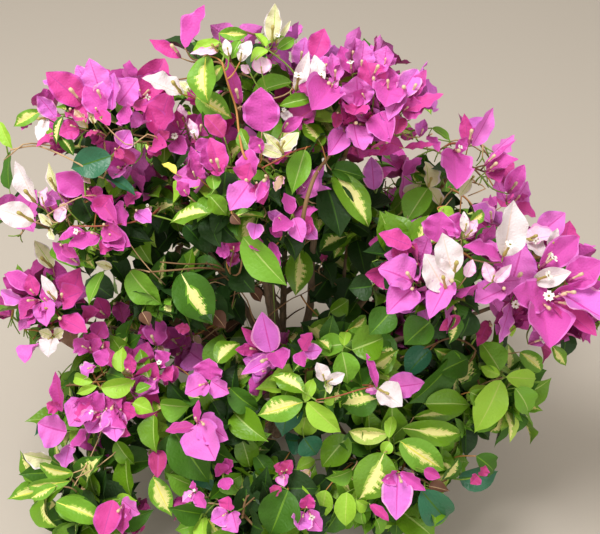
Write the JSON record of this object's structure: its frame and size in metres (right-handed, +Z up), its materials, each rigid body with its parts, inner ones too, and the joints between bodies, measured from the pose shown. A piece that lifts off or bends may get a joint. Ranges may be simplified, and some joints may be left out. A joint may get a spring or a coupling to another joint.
{
  "type": "bougainvillea bush",
  "caption": "Small spreading bougainvillea bush with magenta and white bracts over variegated green leaves, rooted in the ground by one short trunk.",
  "frame": {"origin": "middle of the flat cut under the trunk, at ground level", "axes": "+Z up, front of the bush faces -Y, its right side as seen from the front faces +X"},
  "size_m": [0.6567, 0.4895, 0.5353],
  "materials": {
    "bark": "rough grey-brown bark",
    "foliage": "satin green leaves",
    "bloom": "papery magenta bracts",
    "pale_bloom": "papery white and pink bracts"
  },
  "bodies": {
    "root": {"trunk": "bark", "bough_top_right": "bark", "bough_top_left": "bark", "bough_crest": "bark", "bough_upper_middle": "bark", "bough_right_inner": "bark", "bough_right_high": "bark", "bough_left_arm": "bark", "bough_low_left": "bark", "bough_low_middle": "bark", "bough_front": "bark", "bough_low_right": "bark", "bough_back_top": "bark", "bough_back_low_left": "bark", "bough_back_low_right": "bark", "branch_heart": "bark", "branch_right_outer": "bark", "branch_left_tip": "bark", "branch_left_low": "bark", "branch_left_inner": "bark", "branch_low_left_front": "bark", "branch_low_middle_left": "bark", "branch_front_right": "bark", "branch_back_left": "bark", "branch_back_right": "bark", "mass_top_left": "bloom", "mass_crest": "foliage", "mass_top_right": "bloom", "mass_upper_middle": "foliage", "mass_left_arm": "bloom", "mass_left_tip": "pale_bloom", "mass_left_low": "bloom", "mass_left_inner": "foliage", "mass_right_high": "bloom", "mass_right_inner": "pale_bloom", "mass_right_outer": "bloom", "mass_heart": "foliage", "mass_low_left": "bloom", "mass_low_left_front": "foliage", "mass_low_middle_left": "foliage", "mass_low_middle": "foliage", "mass_low_right": "foliage", "mass_front_right": "foliage", "mass_front": "foliage", "mass_back_left": "foliage", "mass_back_top": "bloom", "mass_back_right": "foliage", "mass_back_low_left": "foliage", "mass_back_low_right": "foliage"}
  },
  "joints": []
}
